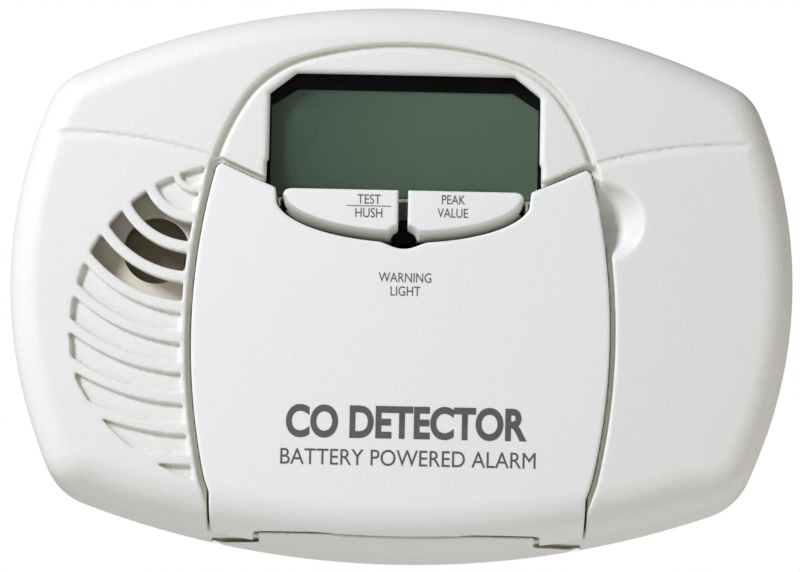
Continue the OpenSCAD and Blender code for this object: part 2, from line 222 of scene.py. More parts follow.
# quads through the cells where the field changes sign
def netOf(field, low, step):
    inside = field < 0
    shape = np.array(field.shape)
    strides = np.array([shape[1] * shape[2], shape[2], 1])
    ids, spots, quads = [], [], []
    for axis in range(3):
        a = [slice(None)] * 3
        b = [slice(None)] * 3
        a[axis], b[axis] = slice(0, -1), slice(1, None)
        at = np.argwhere(inside[tuple(a)] != inside[tuple(b)])
        other = [k for k in range(3) if k != axis]
        keep = (at[:, other[0]] > 0) & (at[:, other[1]] > 0)
        keep &= (at[:, other[0]] < shape[other[0]] - 1) & (at[:, other[1]] < shape[other[1]] - 1)
        at = at[keep]
        flatAt = at @ strides
        f0 = field.ravel()[flatAt].astype(float)
        f1 = field.ravel()[flatAt + strides[axis]].astype(float)
        t = f0 / (f0 - f1)
        spot = at.astype(float)
        spot[:, axis] += t
        corners = []
        for da, db in ((0, 0), (1, 0), (1, 1), (0, 1)):
            cell = flatAt - da * strides[other[0]] - db * strides[other[1]]
            corners.append(cell)
            ids.append(cell)
            spots.append(spot)
        quad = np.stack(corners, 1)
        turn = (f0 < 0) == (axis != 1)
        quad[turn] = quad[turn][:, ::-1]
        quads.append(quad)
    ids, spots, quads = np.concatenate(ids), np.concatenate(spots), np.concatenate(quads)
    cells, place = np.unique(ids, return_inverse=True)
    tally = np.bincount(place)
    verts = np.stack([np.bincount(place, spots[:, k]) / tally for k in range(3)], 1)
    verts = low + verts * step
    quads = np.searchsorted(cells, quads.ravel()).reshape(-1, 4)
    return verts, quads


def meshObject(name, verts, faces, smooth=True):
    mesh = bpy.data.meshes.new(name)
    mesh.vertices.add(len(verts))
    mesh.vertices.foreach_set("co", (np.asarray(verts) * mm).astype(np.float32).ravel())
    faces = np.asarray(faces)
    mesh.loops.add(faces.size)
    mesh.loops.foreach_set("vertex_index", faces.astype(np.int32).ravel())
    mesh.polygons.add(len(faces))
    mesh.polygons.foreach_set("loop_start", np.arange(0, faces.size, faces.shape[1], dtype=np.int32))
    mesh.update(calc_edges=True)
    mesh.validate()
    mesh.polygons.foreach_set("use_smooth", [smooth] * len(mesh.polygons))
    ob = bpy.data.objects.new(name, mesh)
    bpy.context.scene.collection.objects.link(ob)
    return ob


# drops points where the skin is level, keeping them round edges
def thinOut(ob, keep):
    mesh = ob.data
    n = len(mesh.vertices)
    normals = np.zeros(n * 3, np.float32)
    mesh.vertices.foreach_get("normal", normals)
    normals = normals.reshape(-1, 3)
    edges = np.zeros(len(mesh.edges) * 2, np.int32)
    mesh.edges.foreach_get("vertices", edges)
    edges = edges.reshape(-1, 2)
    bend = 1 - (normals[edges[:, 0]] * normals[edges[:, 1]]).sum(1)
    busy = np.zeros(n)
    np.maximum.at(busy, edges[:, 0], bend)
    np.maximum.at(busy, edges[:, 1], bend)
    level = np.where(busy > 0.01, 0.0, 1.0)
    for _ in range(2):
        spread = level.copy()
        np.minimum.at(spread, edges[:, 0], level[edges[:, 1]] + 0.34)
        np.minimum.at(spread, edges[:, 1], level[edges[:, 0]] + 0.34)
        level = np.minimum(spread, 1)
    group = ob.vertex_groups.new(name="level")
    for w in np.unique(level):
        group.add(np.nonzero(level == w)[0].tolist(), float(w), "REPLACE")
    thin = ob.modifiers.new("thin", "DECIMATE")
    thin.ratio = keep
    thin.vertex_group = "level"
    thin.vertex_group_factor = 4.0
    dg = bpy.context.evaluated_depsgraph_get()
    done = bpy.data.meshes.new_from_object(ob.evaluated_get(dg))
    ob.modifiers.clear()
    ob.data = done
    ob.vertex_groups.clear()
    weigh = ob.modifiers.new("shade", "WEIGHTED_NORMAL")
    weigh.weight = 60
    return ob


# finishes
def nodesOf(name):
    m = bpy.data.materials.new(name)
    m.use_nodes = True
    tree = m.node_tree
    return m, tree, tree.nodes["Principled BSDF"]


def add(tree, kind, **values):
    node = tree.nodes.new(kind)
    for key, value in values.items():
        if key.startswith("in_"):
            node.inputs[key[3:].replace("_", " ")].default_value = value
        else:
            setattr(node, key, value)
    return node


# fine spark-eroded plastic: a slight colour drift and a pebbled surface grain, with optional painted shade
# that tints narrow grooves
def mouldedPlastic(name, colour, shade=0.97, grain=0.9, rough=0.5, bump=0.05, soft=0.1, edge=0.0, shine=0.5,
                   paintedGrooveShade=None, paintedShadeReach=0.9):
    m, tree, bsdf = nodesOf(name)
    coord = add(tree, "ShaderNodeTexCoord")
    drift = add(tree, "ShaderNodeTexNoise", in_Scale=28.0, in_Detail=3.0)
    pebble = add(tree, "ShaderNodeTexNoise", in_Scale=1000.0 / grain, in_Detail=2.5, in_Roughness=0.6)
    mix = add(tree, "ShaderNodeMix", data_type="RGBA")
    mix.inputs["A"].default_value = (*colour, 1)
    mix.inputs["B"].default_value = (*[c * shade for c in colour], 1)
    lift = add(tree, "ShaderNodeBump", in_Strength=1.0, in_Distance=bump * mm)
    if edge:     # eased corners on plainly cut shapes
        ease = add(tree, "ShaderNodeBevel", samples=4, in_Radius=edge * mm)
        tree.links.new(ease.outputs["Normal"], lift.inputs["Normal"])
    tree.links.new(coord.outputs["Object"], drift.inputs["Vector"])
    tree.links.new(coord.outputs["Object"], pebble.inputs["Vector"])
    tree.links.new(drift.outputs["Fac"], mix.inputs["Factor"])
    tree.links.new(mix.outputs["Result"], bsdf.inputs["Base Color"])
    if paintedGrooveShade:     # painted shade: ambient occlusion tints deep narrow grooves yellower and darker than the open faces
        near = add(tree, "ShaderNodeAmbientOcclusion", samples=4, in_Distance=paintedShadeReach * mm)
        reach = add(tree, "ShaderNodeMapRange", in_From_Min=0.2, in_From_Max=0.85)
        paintedShadeMix = add(tree, "ShaderNodeMix", data_type="RGBA")
        paintedShadeMix.inputs["A"].default_value = (*paintedGrooveShade, 1)
        tree.links.new(near.outputs["AO"], reach.inputs["Value"])
        tree.links.new(reach.outputs["Result"], paintedShadeMix.inputs["Factor"])
        tree.links.new(mix.outputs["Result"], paintedShadeMix.inputs["B"])
        tree.links.new(paintedShadeMix.outputs["Result"], bsdf.inputs["Base Color"])
    tree.links.new(pebble.outputs["Fac"], lift.inputs["Height"])
    tree.links.new(lift.outputs["Normal"], bsdf.inputs["Normal"])
    bsdf.inputs["Roughness"].default_value = rough
    bsdf.inputs["Specular IOR Level"].default_value = shine
    bsdf.inputs["Subsurface Weight"].default_value = soft
    bsdf.inputs["Subsurface Radius"].default_value = (1.0, 0.88, 0.7)
    bsdf.inputs["Subsurface Scale"].default_value = 1.0 * mm
    return m


def brushedMetal(name, colour, rough=0.3, along=(40, 600, 600)):
    m, tree, bsdf = nodesOf(name)
    coord = add(tree, "ShaderNodeTexCoord")
    mapping = add(tree, "ShaderNodeMapping")
    mapping.inputs["Scale"].default_value = along
    streak = add(tree, "ShaderNodeTexNoise", in_Scale=3.0, in_Detail=4.0)
    ramp = add(tree, "ShaderNodeMapRange")
    ramp.inputs["To Min"].default_value = rough * 0.75
    ramp.inputs["To Max"].default_value = rough * 1.3
    mix = add(tree, "ShaderNodeMix", data_type="RGBA")
    mix.inputs["A"].default_value = (*colour, 1)
    mix.inputs["B"].default_value = (*[c * 0.86 for c in colour], 1)
    tree.links.new(coord.outputs["Object"], mapping.inputs["Vector"])
    tree.links.new(mapping.outputs["Vector"], streak.inputs["Vector"])
    tree.links.new(streak.outputs["Fac"], ramp.inputs["Value"])
    tree.links.new(ramp.outputs["Result"], bsdf.inputs["Roughness"])
    tree.links.new(streak.outputs["Fac"], mix.inputs["Factor"])
    tree.links.new(mix.outputs["Result"], bsdf.inputs["Base Color"])
    bsdf.inputs["Metallic"].default_value = 1.0
    return m


def clearWindow(name):
    m, tree, bsdf = nodesOf(name)
    coord = add(tree, "ShaderNodeTexCoord")
    dust = add(tree, "ShaderNodeTexNoise", in_Scale=500.0, in_Detail=2.0)
    ramp = add(tree, "ShaderNodeMapRange")
    ramp.inputs["To Min"].default_value = 0.03
    ramp.inputs["To Max"].default_value = 0.09
    tree.links.new(coord.outputs["Object"], dust.inputs["Vector"])
    tree.links.new(dust.outputs["Fac"], ramp.inputs["Value"])
    tree.links.new(ramp.outputs["Result"], bsdf.inputs["Roughness"])
    bsdf.inputs["Base Color"].default_value = (0.95, 0.97, 0.96, 1)
    bsdf.inputs["Transmission Weight"].default_value = 1.0
    bsdf.inputs["IOR"].default_value = 1.12
    return m


# battery jackets: dark sleeve, copper-coloured shoulder at the positive end, bare metal at both ends
def batteryFinish(name):
    m, tree, bsdf = nodesOf(name)
    coord = add(tree, "ShaderNodeTexCoord")
    apart = add(tree, "ShaderNodeSeparateXYZ")
    along = add(tree, "ShaderNodeMath", operation="SUBTRACT")
    along.inputs[1].default_value = 0.5
    level = add(tree, "ShaderNodeMath", operation="SUBTRACT")
    level.inputs[1].default_value = 0.5
    whichCell = add(tree, "ShaderNodeMath", operation="SIGN")
    facing = add(tree, "ShaderNodeMath", operation="MULTIPLY")
    shoulder = add(tree, "ShaderNodeMath", operation="GREATER_THAN")
    shoulder.inputs[1].default_value = 0.2
    reach = add(tree, "ShaderNodeMath", operation="ABSOLUTE")
    ends = add(tree, "ShaderNodeMath", operation="GREATER_THAN")
    ends.inputs[1].default_value = 0.462
    scuff = add(tree, "ShaderNodeTexNoise", in_Scale=90.0, in_Detail=3.0)
    sleeve = add(tree, "ShaderNodeMix", data_type="RGBA")
    sleeve.inputs["A"].default_value = (0.02, 0.02, 0.022, 1)
    sleeve.inputs["B"].default_value = (0.5, 0.24, 0.09, 1)
    whole = add(tree, "ShaderNodeMix", data_type="RGBA")
    whole.inputs["B"].default_value = (0.6, 0.6, 0.58, 1)
    wear = add(tree, "ShaderNodeMapRange")
    wear.inputs["To Min"].default_value = 0.18
    wear.inputs["To Max"].default_value = 0.32
    for a, b in ((coord.outputs["Generated"], apart.inputs[0]), (apart.outputs["X"], along.inputs[0]),
                 (apart.outputs["Z"], level.inputs[0]), (level.outputs[0], whichCell.inputs[0]),
                 (along.outputs[0], facing.inputs[0]), (whichCell.outputs[0], facing.inputs[1]),
                 (facing.outputs[0], shoulder.inputs[0]), (along.outputs[0], reach.inputs[0]),
                 (reach.outputs[0], ends.inputs[0]), (shoulder.outputs[0], sleeve.inputs["Factor"]),
                 (sleeve.outputs["Result"], whole.inputs["A"]), (ends.outputs[0], whole.inputs["Factor"]),
                 (whole.outputs["Result"], bsdf.inputs["Base Color"]),
                 (ends.outputs[0], bsdf.inputs["Metallic"]),
                 (coord.outputs["Object"], scuff.inputs["Vector"]),
                 (scuff.outputs["Fac"], wear.inputs["Value"]),
                 (wear.outputs["Result"], bsdf.inputs["Roughness"])):
        tree.links.new(a, b)
    return m


# display glass that is paler towards one side
def fadedGlass(name, near, far):
    m, tree, bsdf = nodesOf(name)
    coord = add(tree, "ShaderNodeTexCoord")
    apart = add(tree, "ShaderNodeSeparateXYZ")
    cloud = add(tree, "ShaderNodeTexNoise", in_Scale=60.0, in_Detail=2.0)
    place = add(tree, "ShaderNodeMath", operation="MULTIPLY_ADD")
    place.inputs[1].default_value = 0.14
    ramp = add(tree, "ShaderNodeMapRange", interpolation_type="SMOOTHSTEP")
    ramp.inputs["From Min"].default_value = 0.0
    ramp.inputs["From Max"].default_value = 0.75
    mix = add(tree, "ShaderNodeMix", data_type="RGBA")
    mix.inputs["A"].default_value = (*near, 1)
    mix.inputs["B"].default_value = (*far, 1)
    tree.links.new(coord.outputs["Generated"], apart.inputs[0])
    tree.links.new(coord.outputs["Object"], cloud.inputs["Vector"])
    tree.links.new(cloud.outputs["Fac"], place.inputs[0])
    tree.links.new(apart.outputs["X"], place.inputs[2])
    tree.links.new(place.outputs[0], ramp.inputs["Value"])
    tree.links.new(ramp.outputs["Result"], mix.inputs["Factor"])
    tree.links.new(mix.outputs["Result"], bsdf.inputs["Base Color"])
    bsdf.inputs["Roughness"].default_value = 0.3
    return m


shellWhite = (0.825, 0.82, 0.80)
doorWhite = (0.865, 0.868, 0.862)
# the housing, door and key finishes paint shade into narrow grooves; the keys' longer reach paints shade onto
# their skirts
housingPlastic = mouldedPlastic("housing_plastic", shellWhite, bump=0.075, grain=0.65,
                                paintedGrooveShade=(0.66, 0.63, 0.46), paintedShadeReach=1.25)
doorPlastic = mouldedPlastic("door_plastic", doorWhite, bump=0.07, grain=0.6, paintedGrooveShade=(0.68, 0.65, 0.48))
keyPlastic = mouldedPlastic("key_plastic", doorWhite, bump=0.06, grain=0.55,
                            paintedGrooveShade=(0.50, 0.46, 0.33), paintedShadeReach=3.2)
bracketPlastic = mouldedPlastic("bracket_plastic", (0.74, 0.73, 0.68), bump=0.03, edge=0.35)
hornPlastic = mouldedPlastic("horn_plastic", (0.84, 0.77, 0.64), bump=0.03, soft=0.0)
blackPlastic = mouldedPlastic("black_plastic", (0.03, 0.03, 0.032), shade=0.8, bump=0.02,
                              soft=0.0, edge=0.25)
nylonPlastic = mouldedPlastic("plunger_plastic", (0.7, 0.66, 0.54), bump=0.01)
boardGreen = mouldedPlastic("board", (0.04, 0.2, 0.08), shade=0.8, rough=0.35, bump=0.02, soft=0.0)
stripRubber = mouldedPlastic("strip_rubber", (0.5, 0.25, 0.33), rough=0.7, bump=0.02, soft=0.0)
ledRed = mouldedPlastic("led_red", (0.25, 0.02, 0.015), rough=0.15, bump=0.005, soft=0.0)
smokedPlastic = mouldedPlastic("smoked_plastic", (0.002, 0.002, 0.003), shade=0.7, rough=0.4, bump=0.004,
                               soft=0.0, shine=0.1)
cellJacket = batteryFinish("cell_jacket")
sleeveBlue = mouldedPlastic("capacitor_sleeve", (0.03, 0.05, 0.2), rough=0.3, bump=0.01, soft=0.0)
padFoam = mouldedPlastic("foam", (0.04, 0.04, 0.04), rough=0.9, bump=0.2, grain=1.4, soft=0.0)
nickel = brushedMetal("nickel", (0.66, 0.64, 0.6))
brass = brushedMetal("brass", (0.33, 0.285, 0.2), rough=0.5)
zinc = brushedMetal("zinc_steel", (0.6, 0.61, 0.63), rough=0.35)
windowClear = clearWindow("clear_plastic")
displayGrey = fadedGlass("display_glass", (0.074, 0.116, 0.09), (0.122, 0.184, 0.124))
finishes = {m.name.split(".")[0]: m for m in (
    housingPlastic, doorPlastic, bracketPlastic, hornPlastic, blackPlastic, nylonPlastic, boardGreen,
    stripRubber, ledRed, smokedPlastic, cellJacket, sleeveBlue, padFoam, nickel, brass, zinc,
    windowClear, displayGrey)}
for part in frame["record"]["subparts"]:
    ob = frame["nodes"][part["node"]]
    ob.data.materials.clear()
    ob.data.materials.append(finishes[part["material_slot"]])


def carry(ob, body, material):
    ob.data.materials.clear()
    ob.data.materials.append(material)
    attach(ob, body)
    return ob


# battery door
door = dict(
    step=0.3,
    edgeRound=0.4,
    thick=2.2,
    hingeY=-34.1, hingeZ=-46.5,
    edgeBar=0.85, edgeBarEnd=0.4,     # rounded lower edge, slimmer towards the tabs
    tabX=30.0, tabHalf=4.0, tabReach=7.7,
    lightX=0.2, lightZ=10.4, lightRadius=5.5,     # scallop for the warning light
    ribsX=(-24, -14, 14, 24), ribHalf=0.6, ribMiddle=-19, ribReach=18.5, ribBack=-33.4,
    tongueHalf=4.5, tongueZ=0.9, tongueThick=0.6, tongueBack=-32.1,
    innerFace=1.8,     # ribs and tongue start this far behind the face
    nubX=35.3, nubZ=12.8, nubRadius=0.55,     # moulding gate mark on the right edge
    jogZ=-38.4, jogIn=0.3,     # the sides step inwards near the bottom
)
smileWide, smileDeep, smileTop = 23.2, 8.0, 14.0


def smile(out, first=0, last=81, n=24):
    pts = []
    for i in range(n + 1):
        a = math.radians(first + (last - first) * i / n)
        pts.append(((smileWide + out) * math.sin(a), smileTop - (smileDeep + out) * math.cos(a)))
    return pts


def doorOutline(out):
    half = smile(-out)
    half += [(23.2 - out, 15.6 + out), (24.2, 16.1 + out), (26.5, 17.0 + out), (29, 18.1 + out),
             (31.2, 19.1 + out), (33.0, 19.9 + out), (33.7 + out, 19.6 + out), (34.1 + out, 19.0 + out)]
    half += [p for p in archHalf(out - 0.5) if door["jogZ"] < p[1] < 18.3]
    half += [p for p in archHalf(out - 0.5 - door["jogIn"]) if p[1] < door["jogZ"] - 0.4]
    half += [(31.5 + out, -53)]
    return bothSides(half)


def edgeBar(g):
    return door["edgeBar"] + (door["edgeBarEnd"] - door["edgeBar"]) * np.minimum(1, (g.across / 25) ** 2)


def makeDoor():
    g = Mould((doorLow[0], faceY, doorLow[2]), (doorHigh[0], doorHigh[1], doorHigh[2]), door["step"])
    skin = g.caseSkin()
    shell = roundMax(skin, -(skin + door["thick"]), 0.2)
    plan = g.outline(doorOutline(0.0))
    # round scallop for the warning light
    light = g.flat(door["lightRadius"] - np.hypot(g.x2 - door["lightX"], g.z2 - door["lightZ"]))
    plan = roundMax(plan, light, 0.8)
    fromHinge = np.hypot(g.back - door["hingeY"], g.up - door["hingeZ"])
    lower = np.minimum(door["hingeZ"] - g.up, fromHinge - edgeBar(g))
    plate = roundMax(plan, lower, 0.3)
    nubX, nubZ = g.across - door["nubX"], g.up - door["nubZ"]
    plate = np.minimum(plate, np.sqrt(nubX ** 2 + g.depth ** 2 + nubZ ** 2) - door["nubRadius"])
    beside = np.abs(g.across) - door["tabX"]
    tabs = np.maximum(np.abs(beside) - door["tabHalf"], fromHinge - door["tabReach"])
    plate = np.minimum(plate, tabs)
    body = roundMax(shell, plate, door["edgeRound"])
    behind = door["innerFace"] - g.depth
    ribSide = np.maximum(np.abs(g.up - door["ribMiddle"]) - door["ribReach"], g.back - door["ribBack"])
    for x in door["ribsX"]:
        rib = np.maximum(np.abs(g.across - x) - door["ribHalf"], np.maximum(ribSide, behind))
        body = np.minimum(body, rib)
    tongue = np.maximum(np.abs(g.up - door["tongueZ"]) - door["tongueThick"], g.back - door["tongueBack"])
    tongue = np.maximum(np.abs(g.across) - door["tongueHalf"], np.maximum(tongue, behind))
    body = np.minimum(body, tongue)
    return meshObject("battery_door_skin", *g.skin(body))


doorSkin = thinOut(makeDoor(), 0.3)
carry(doorSkin, "door", doorPlastic)
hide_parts("battery_door")
print("door made", len(doorSkin.data.polygons))

# front housing
housing = dict(
    step=0.36,
    grooveWide=1.25, grooveDeep=1.2, grooveEnd=16,
    vRadius=93.0, vTopX=62, vTopZ=25.3, vStart=34.5, vEnd=66.5, vFade=5,
    vDeep=0.5, vWide=1.4, vSteep=0.42,     # V line: a steep upper side and a long lower one
    slotDeep=1.2, slotEdge=0.14,
    slots=11, openSlots=(3, 4, 5),     # counted from the top; the others are blind
    slotCentre=(-38, 18.5), firstSlot=2.7, secondSlot=5.75, slotPitch=5.5, slotHalf=1.75,
    leafCentre=(-29.5, -10.5), leafRadius=30.4, tipCentre=(-26.8, -3.2), tipRadius=35.8,
    slotFloorRadius=32.2, slotsBack=-30,
    scoopX=36.6, scoopZ=10.8, scoopRadius=7.48, scoopOut=2.3, scoopWall=1.5,
    ledgeBack=-31.5, slotFloorBack=-33.2, bayBack=-30.5,     # how far back each of them reaches
    doorGap=1.05, doorSlit=0.12,     # rebate round the door, and the slit beside it
    rebateDeep=1.7, rebateEnd=-45.5, wellY=-34.4,
    lowCutTop=-37, lowCutBack=-24,     # deeper part of the well, above the hinge
    cellBayFront=-36, cellBayBack=-30.2,
    notchMore=0.9, notchSide=0.35, notchEnd=2.1,     # room beside, outside and below the hook tabs
    edgeRoom=0.28, edgeRoomHalf=25.5,
    landingZ=-47.9, landingHigh=0.9,     # shallow recess under each tab
    windowBevel=0.6, windowBack=-31,
    postRadius=3.2, postBack=-9,
    bayHalf=22.2, bayFloor=1.3,     # the key bay ends in a shallow floor at each side
)
windowHalf = [(0, 36.8), (19.8, 36.8), (24.6, 33), (24.6, 20.9), (24.95, 20.4), (24.95, 15), (23.8, 14)]


def makeHousing():
    g = Mould((caseLow[0], faceY, caseLow[2]), (caseHigh[0], backY, caseHigh[2]), housing["step"])
    h = housing
    skin = g.caseSkin()
    shell = np.maximum(skin, -(skin + case["wall"]))
    shell = np.maximum(shell, g.back - backY)
    inner = skin + 0.4
    # ledge behind the door's gap
    outer = [(0, 3.5), (24, 13), (34, 18)] + [p for p in archHalf(2.6) if p[1] < 18] + [(33, -49.8)]
    inside = [(0, 2), (22, 11), (31.5, 16)] + [p for p in archHalf(-3.5) if p[1] < 16] + [(30, -40)]
    outerLedge, innerLedge = g.outline(bothSides(outer)), g.outline(bothSides(inside))
    ledge = np.maximum(np.maximum(outerLedge, -innerLedge), g.back - h["ledgeBack"])
    middle = np.maximum(np.abs(g.across) - 13, g.up - 9)     # left open for the light guide
    ledge = np.maximum(ledge, -np.maximum(middle, 1 - g.up))
    # floor behind the sound slots
    leafX, leafZ = h["leafCentre"]
    fromLeaf = g.flat(np.hypot(g.x2 - leafX, g.z2 - leafZ))
    panel = np.maximum(np.abs(g.across + 52) - 14.7, np.abs(g.up + 8.7) - 29.2)
    backing = np.maximum(np.maximum(fromLeaf - h["slotFloorRadius"], panel), g.back - h["slotFloorBack"])
    # seat round the window
    seat = g.outline(bothSides([(0, 38.9), (27, 38.9), (27, 16.5)]))
    seatIn = g.outline(bothSides([(0, 37.1), (25, 37.1), (25, 8)]))
    seat = np.maximum(np.maximum(seat, -seatIn), g.back - lensLow[1] + 0.2)
    scoopY = faceY - h["scoopOut"]
    fromScoop = np.sqrt((g.across - h["scoopX"]) ** 2 + (g.back - scoopY) ** 2 + (g.up - h["scoopZ"]) ** 2)
    scoopWall = fromScoop - h["scoopRadius"] - h["scoopWall"]
    more = np.minimum(np.minimum(ledge, backing), np.minimum(seat, scoopWall))
    body = np.minimum(shell, np.maximum(more, inner))
    # door well and battery opening
    rebate = np.maximum(g.outline(doorOutline(h["doorGap"])), g.depth - h["rebateDeep"])
    rebate = np.maximum(rebate, h["rebateEnd"] - g.up)
    body = roundMax(body, -rebate, 0.35)
    slit = g.outline(doorOutline(h["doorSlit"]))
    lowCut = np.maximum(g.up - h["lowCutTop"], door["hingeZ"] - 0.1 - g.up)
    lowCut = np.maximum(slit, np.maximum(g.back - h["lowCutBack"], lowCut))
    body = np.maximum(body, -np.minimum(np.maximum(slit, g.back - h["wellY"]), lowCut))
    bay = np.maximum(np.maximum(innerLedge, g.back - h["cellBayBack"]), h["cellBayFront"] - g.back)
    body = np.maximum(body, -bay)
    # window with a bevelled edge, and the key bay below it
    window = g.outline(bothSides(windowHalf))
    bevel = np.maximum(0, h["windowBevel"] - g.depth)
    body = roundMax(body, -np.maximum(window - bevel, g.back - h["windowBack"]), 0.25)
    keyBay = g.outline(bothSides([(0, 15.5), (23.8, 15.5)] + list(reversed(smile(0.4)))))
    deepBay = np.maximum(np.maximum(keyBay, np.abs(g.across) - h["bayHalf"]), g.back - h["bayBack"])
    body = roundMax(body, -deepBay, 0.15)
    body = roundMax(body, -np.maximum(keyBay, g.depth - h["bayFloor"]), 0.25)
    # swing room for the door's lower edge and tabs
    fromHinge = np.hypot(g.back - door["hingeY"], g.up - door["hingeZ"])
    swing = np.maximum(fromHinge - edgeBar(g) - h["edgeRoom"], np.abs(g.across) - h["edgeRoomHalf"])
    body = roundMax(body, -swing, 0.15)
    beside = np.abs(g.across) - door["tabX"]
    wide = np.maximum(beside - door["tabHalf"] - h["notchSide"], -beside - door["tabHalf"] - h["notchMore"])
    notch = np.maximum(wide, fromHinge - door["tabReach"] - h["notchEnd"])
    body = roundMax(body, -notch, 0.15)
    landing = np.maximum(wide, np.abs(g.up - h["landingZ"]) - h["landingHigh"] / 2)
    body = np.maximum(body, -np.maximum(landing, -h["landingHigh"] - skin))
    # arch groove
    line = g.flat(np.abs(distanceTo(bothSides(archHalf(0)), g.x2, g.z2, closed=False)))
    groove = np.maximum(line - h["grooveWide"] / 2, g.depth - h["grooveDeep"])
    groove = np.maximum(groove, h["grooveEnd"] - g.up)
    body = roundMax(body, -groove, 0.4)
    # V lines
    under = g.flat(h["vRadius"] - np.hypot(np.abs(g.x2) - h["vTopX"], g.z2 - (h["vTopZ"] - h["vRadius"])))
    outward = np.abs(g.across)
    fade = np.clip((h["vEnd"] - outward) / h["vFade"], 0, 1)
    slope = np.minimum(np.clip(1 - under / h["vWide"], 0, 1), np.clip(1 + under / h["vSteep"], 0, 1))
    cut = (g.depth - h["vDeep"] * fade * slope) * 0.9
    body = np.maximum(body, -np.maximum(cut, h["vStart"] - outward))
    # finger scoop
    body = roundMax(body, -(fromScoop - h["scoopRadius"]), 0.8)
    # sound slots: rings clipped to a leaf
    rho = g.flat(np.hypot(g.x2 - h["slotCentre"][0], g.z2 - h["slotCentre"][1]))
    fromTip = g.flat(np.hypot(g.x2 - h["tipCentre"][0], g.z2 - h["tipCentre"][1]))
    archSide = [(-x, z) for x, z in reversed(archHalf(1.4)) if -38.5 < z < 20.5]
    edge = g.outline([(-70, -40)] + archSide + [(-70, 30)])
    leaf = np.maximum(np.maximum(fromLeaf - h["leafRadius"], fromTip - h["tipRadius"]), edge)
    blind, through = np.full_like(rho, beyond), np.full_like(rho, beyond)
    for k in range(1, h["slots"] + 1):
        if k == 1:
            ring = rho - h["firstSlot"]
        else:
            mid = h["secondSlot"] + h["slotPitch"] * (k - 2)
            ring = np.abs(rho - mid) - h["slotHalf"]
        slot = roundMax(ring, leaf, 0.2)
        if k in h["openSlots"]:
            through = np.minimum(through, slot)
        else:
            blind = np.minimum(blind, slot)
    body = roundMax(body, -np.maximum(blind, g.depth - h["slotDeep"]), h["slotEdge"])
    body = roundMax(body, -np.maximum(through, g.back - h["slotsBack"]), h["slotEdge"])
    for x, z in ((-60, 30), (60, 30), (-58, -31), (58, -31)):     # screw posts
        post = np.hypot(g.across - x, g.up - z) - h["postRadius"]
        body = np.minimum(body, np.maximum(np.maximum(post, g.back - h["postBack"]), inner + 1.0))
    return meshObject("front_housing_skin", *g.skin(body))


housingSkin = thinOut(makeHousing(), 0.22)
carry(housingSkin, "alarm", housingPlastic)
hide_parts("front_housing")
print("housing made", len(housingSkin.data.polygons))

# keys
keys = dict(
    step=0.18,
    inner=0.85, outer=21.9, top=15.6,
    skirt=2.0, skirtDrop=3.4,     # sloping band along the curved edge
    thick=3.7, thinTop=2.9, thinFrom=11.8,     # thinner in front of the window's lower edge
    lensRoom=0.75, roomFrom=11.9,     # travel plus clearance there
    lightX=0.2, lightZ=5.6, lightRadius=3.9, lightSlope=0.35,     # corner cut back round the light
    stemX=8, stemZ=10.2, stemRadius=1.3, stemFrom=1.5,
    edgeRound=0.4, faceBack=0.12,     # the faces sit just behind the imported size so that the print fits
)


def makeKey(name, side):
    low, high = boxMm(name)
    g = Mould(low, high, keys["step"])
    k = keys
    edge = [p for p in smile(-0.2, n=40) if k["inner"] < p[0] < k["outer"] - 0.2]
    start = edge[0][1]
    half = [(k["inner"], k["top"]), (k["inner"], start)] + edge
    half += [(k["outer"], 14.5), (k["outer"] - 0.5, 15.3), (k["outer"] - 1.4, k["top"])]
    outline = g.outline([(side * x, z) for x, z in half])
    curve = g.flat(distanceTo([(side * x, z) for x, z in smile(-0.2, n=40)], g.x2, g.z2, closed=False))
    drop = k["skirtDrop"] * np.clip(1 - curve / k["skirt"], 0, 1)
    top = (drop - g.depth + k["faceBack"]) * 0.52
    body = roundMax(outline, top, k["edgeRound"])
    light = k["lightRadius"] - np.sqrt((g.across - k["lightX"]) ** 2 + (g.up - k["lightZ"]) ** 2)
    body = roundMax(body, light - k["lightSlope"] * g.depth, 0.3)
    body = roundMax(body, g.depth - np.where(g.up > k["thinFrom"], k["thinTop"], k["thick"]), 0.2)
    room = g.back - (lensLow[1] - k["lensRoom"])
    body = np.maximum(body, np.where(g.up > k["roomFrom"], room, -beyond))
    stem = np.hypot(g.across - side * k["stemX"], g.up - k["stemZ"]) - k["stemRadius"]
    stem = np.maximum(stem, np.maximum(g.back - high[1], k["stemFrom"] - g.depth))
    body = np.minimum(body, stem)
    return meshObject(name + "_skin", *g.skin(body))


for name, side, body in (("test_button", -1, "test_key"), ("peak_button", 1, "peak_key")):
    skinOb = thinOut(makeKey(name, side), 0.4)
    carry(skinOb, body, keyPlastic)
    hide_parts(name)
print("keys made")

# printed words and marks
inkGrey = mouldedPlastic("ink_grey", (0.1, 0.1, 0.108), rough=0.6, bump=0.03, soft=0.0)
words = dict(
    lift=0.04,     # the ink stands this far proud of the face
    big=("CO DETECTOR", (1.4, -26.6), 6.0, 43.5),     # what, where, height, width
    small=("BATTERY POWERED ALARM", (1.8, -33.0), 2.9, 46),
    lamp=("WARNING\nLIGHT", (0.6, -1.6), 4.2, 9.5),
    test=("TEST\nHUSH", (-6.2, 12.55), 4.2, 4.9),
    peak=("PEAK\nVALUE", (9.0, 12.75), 4.1, 5.5),
    ruleWide=8.0, ruleHigh=0.14,     # thin rule between the two test words
)


def inkMesh(name, mesh, body, back):
    co = np.zeros(len(mesh.vertices) * 3, np.float32)
    mesh.vertices.foreach_get("co", co)
    co = co.reshape(-1, 3)
    y = faceY + dome(co[:, 0], co[:, 2]) + back - words["lift"]
    mesh.vertices.foreach_set("co", (np.stack([co[:, 0], y, co[:, 2]], 1) * mm).ravel())
    ob = bpy.data.objects.new(name, mesh)
    bpy.context.scene.collection.objects.link(ob)
    return carry(ob, body, inkGrey)


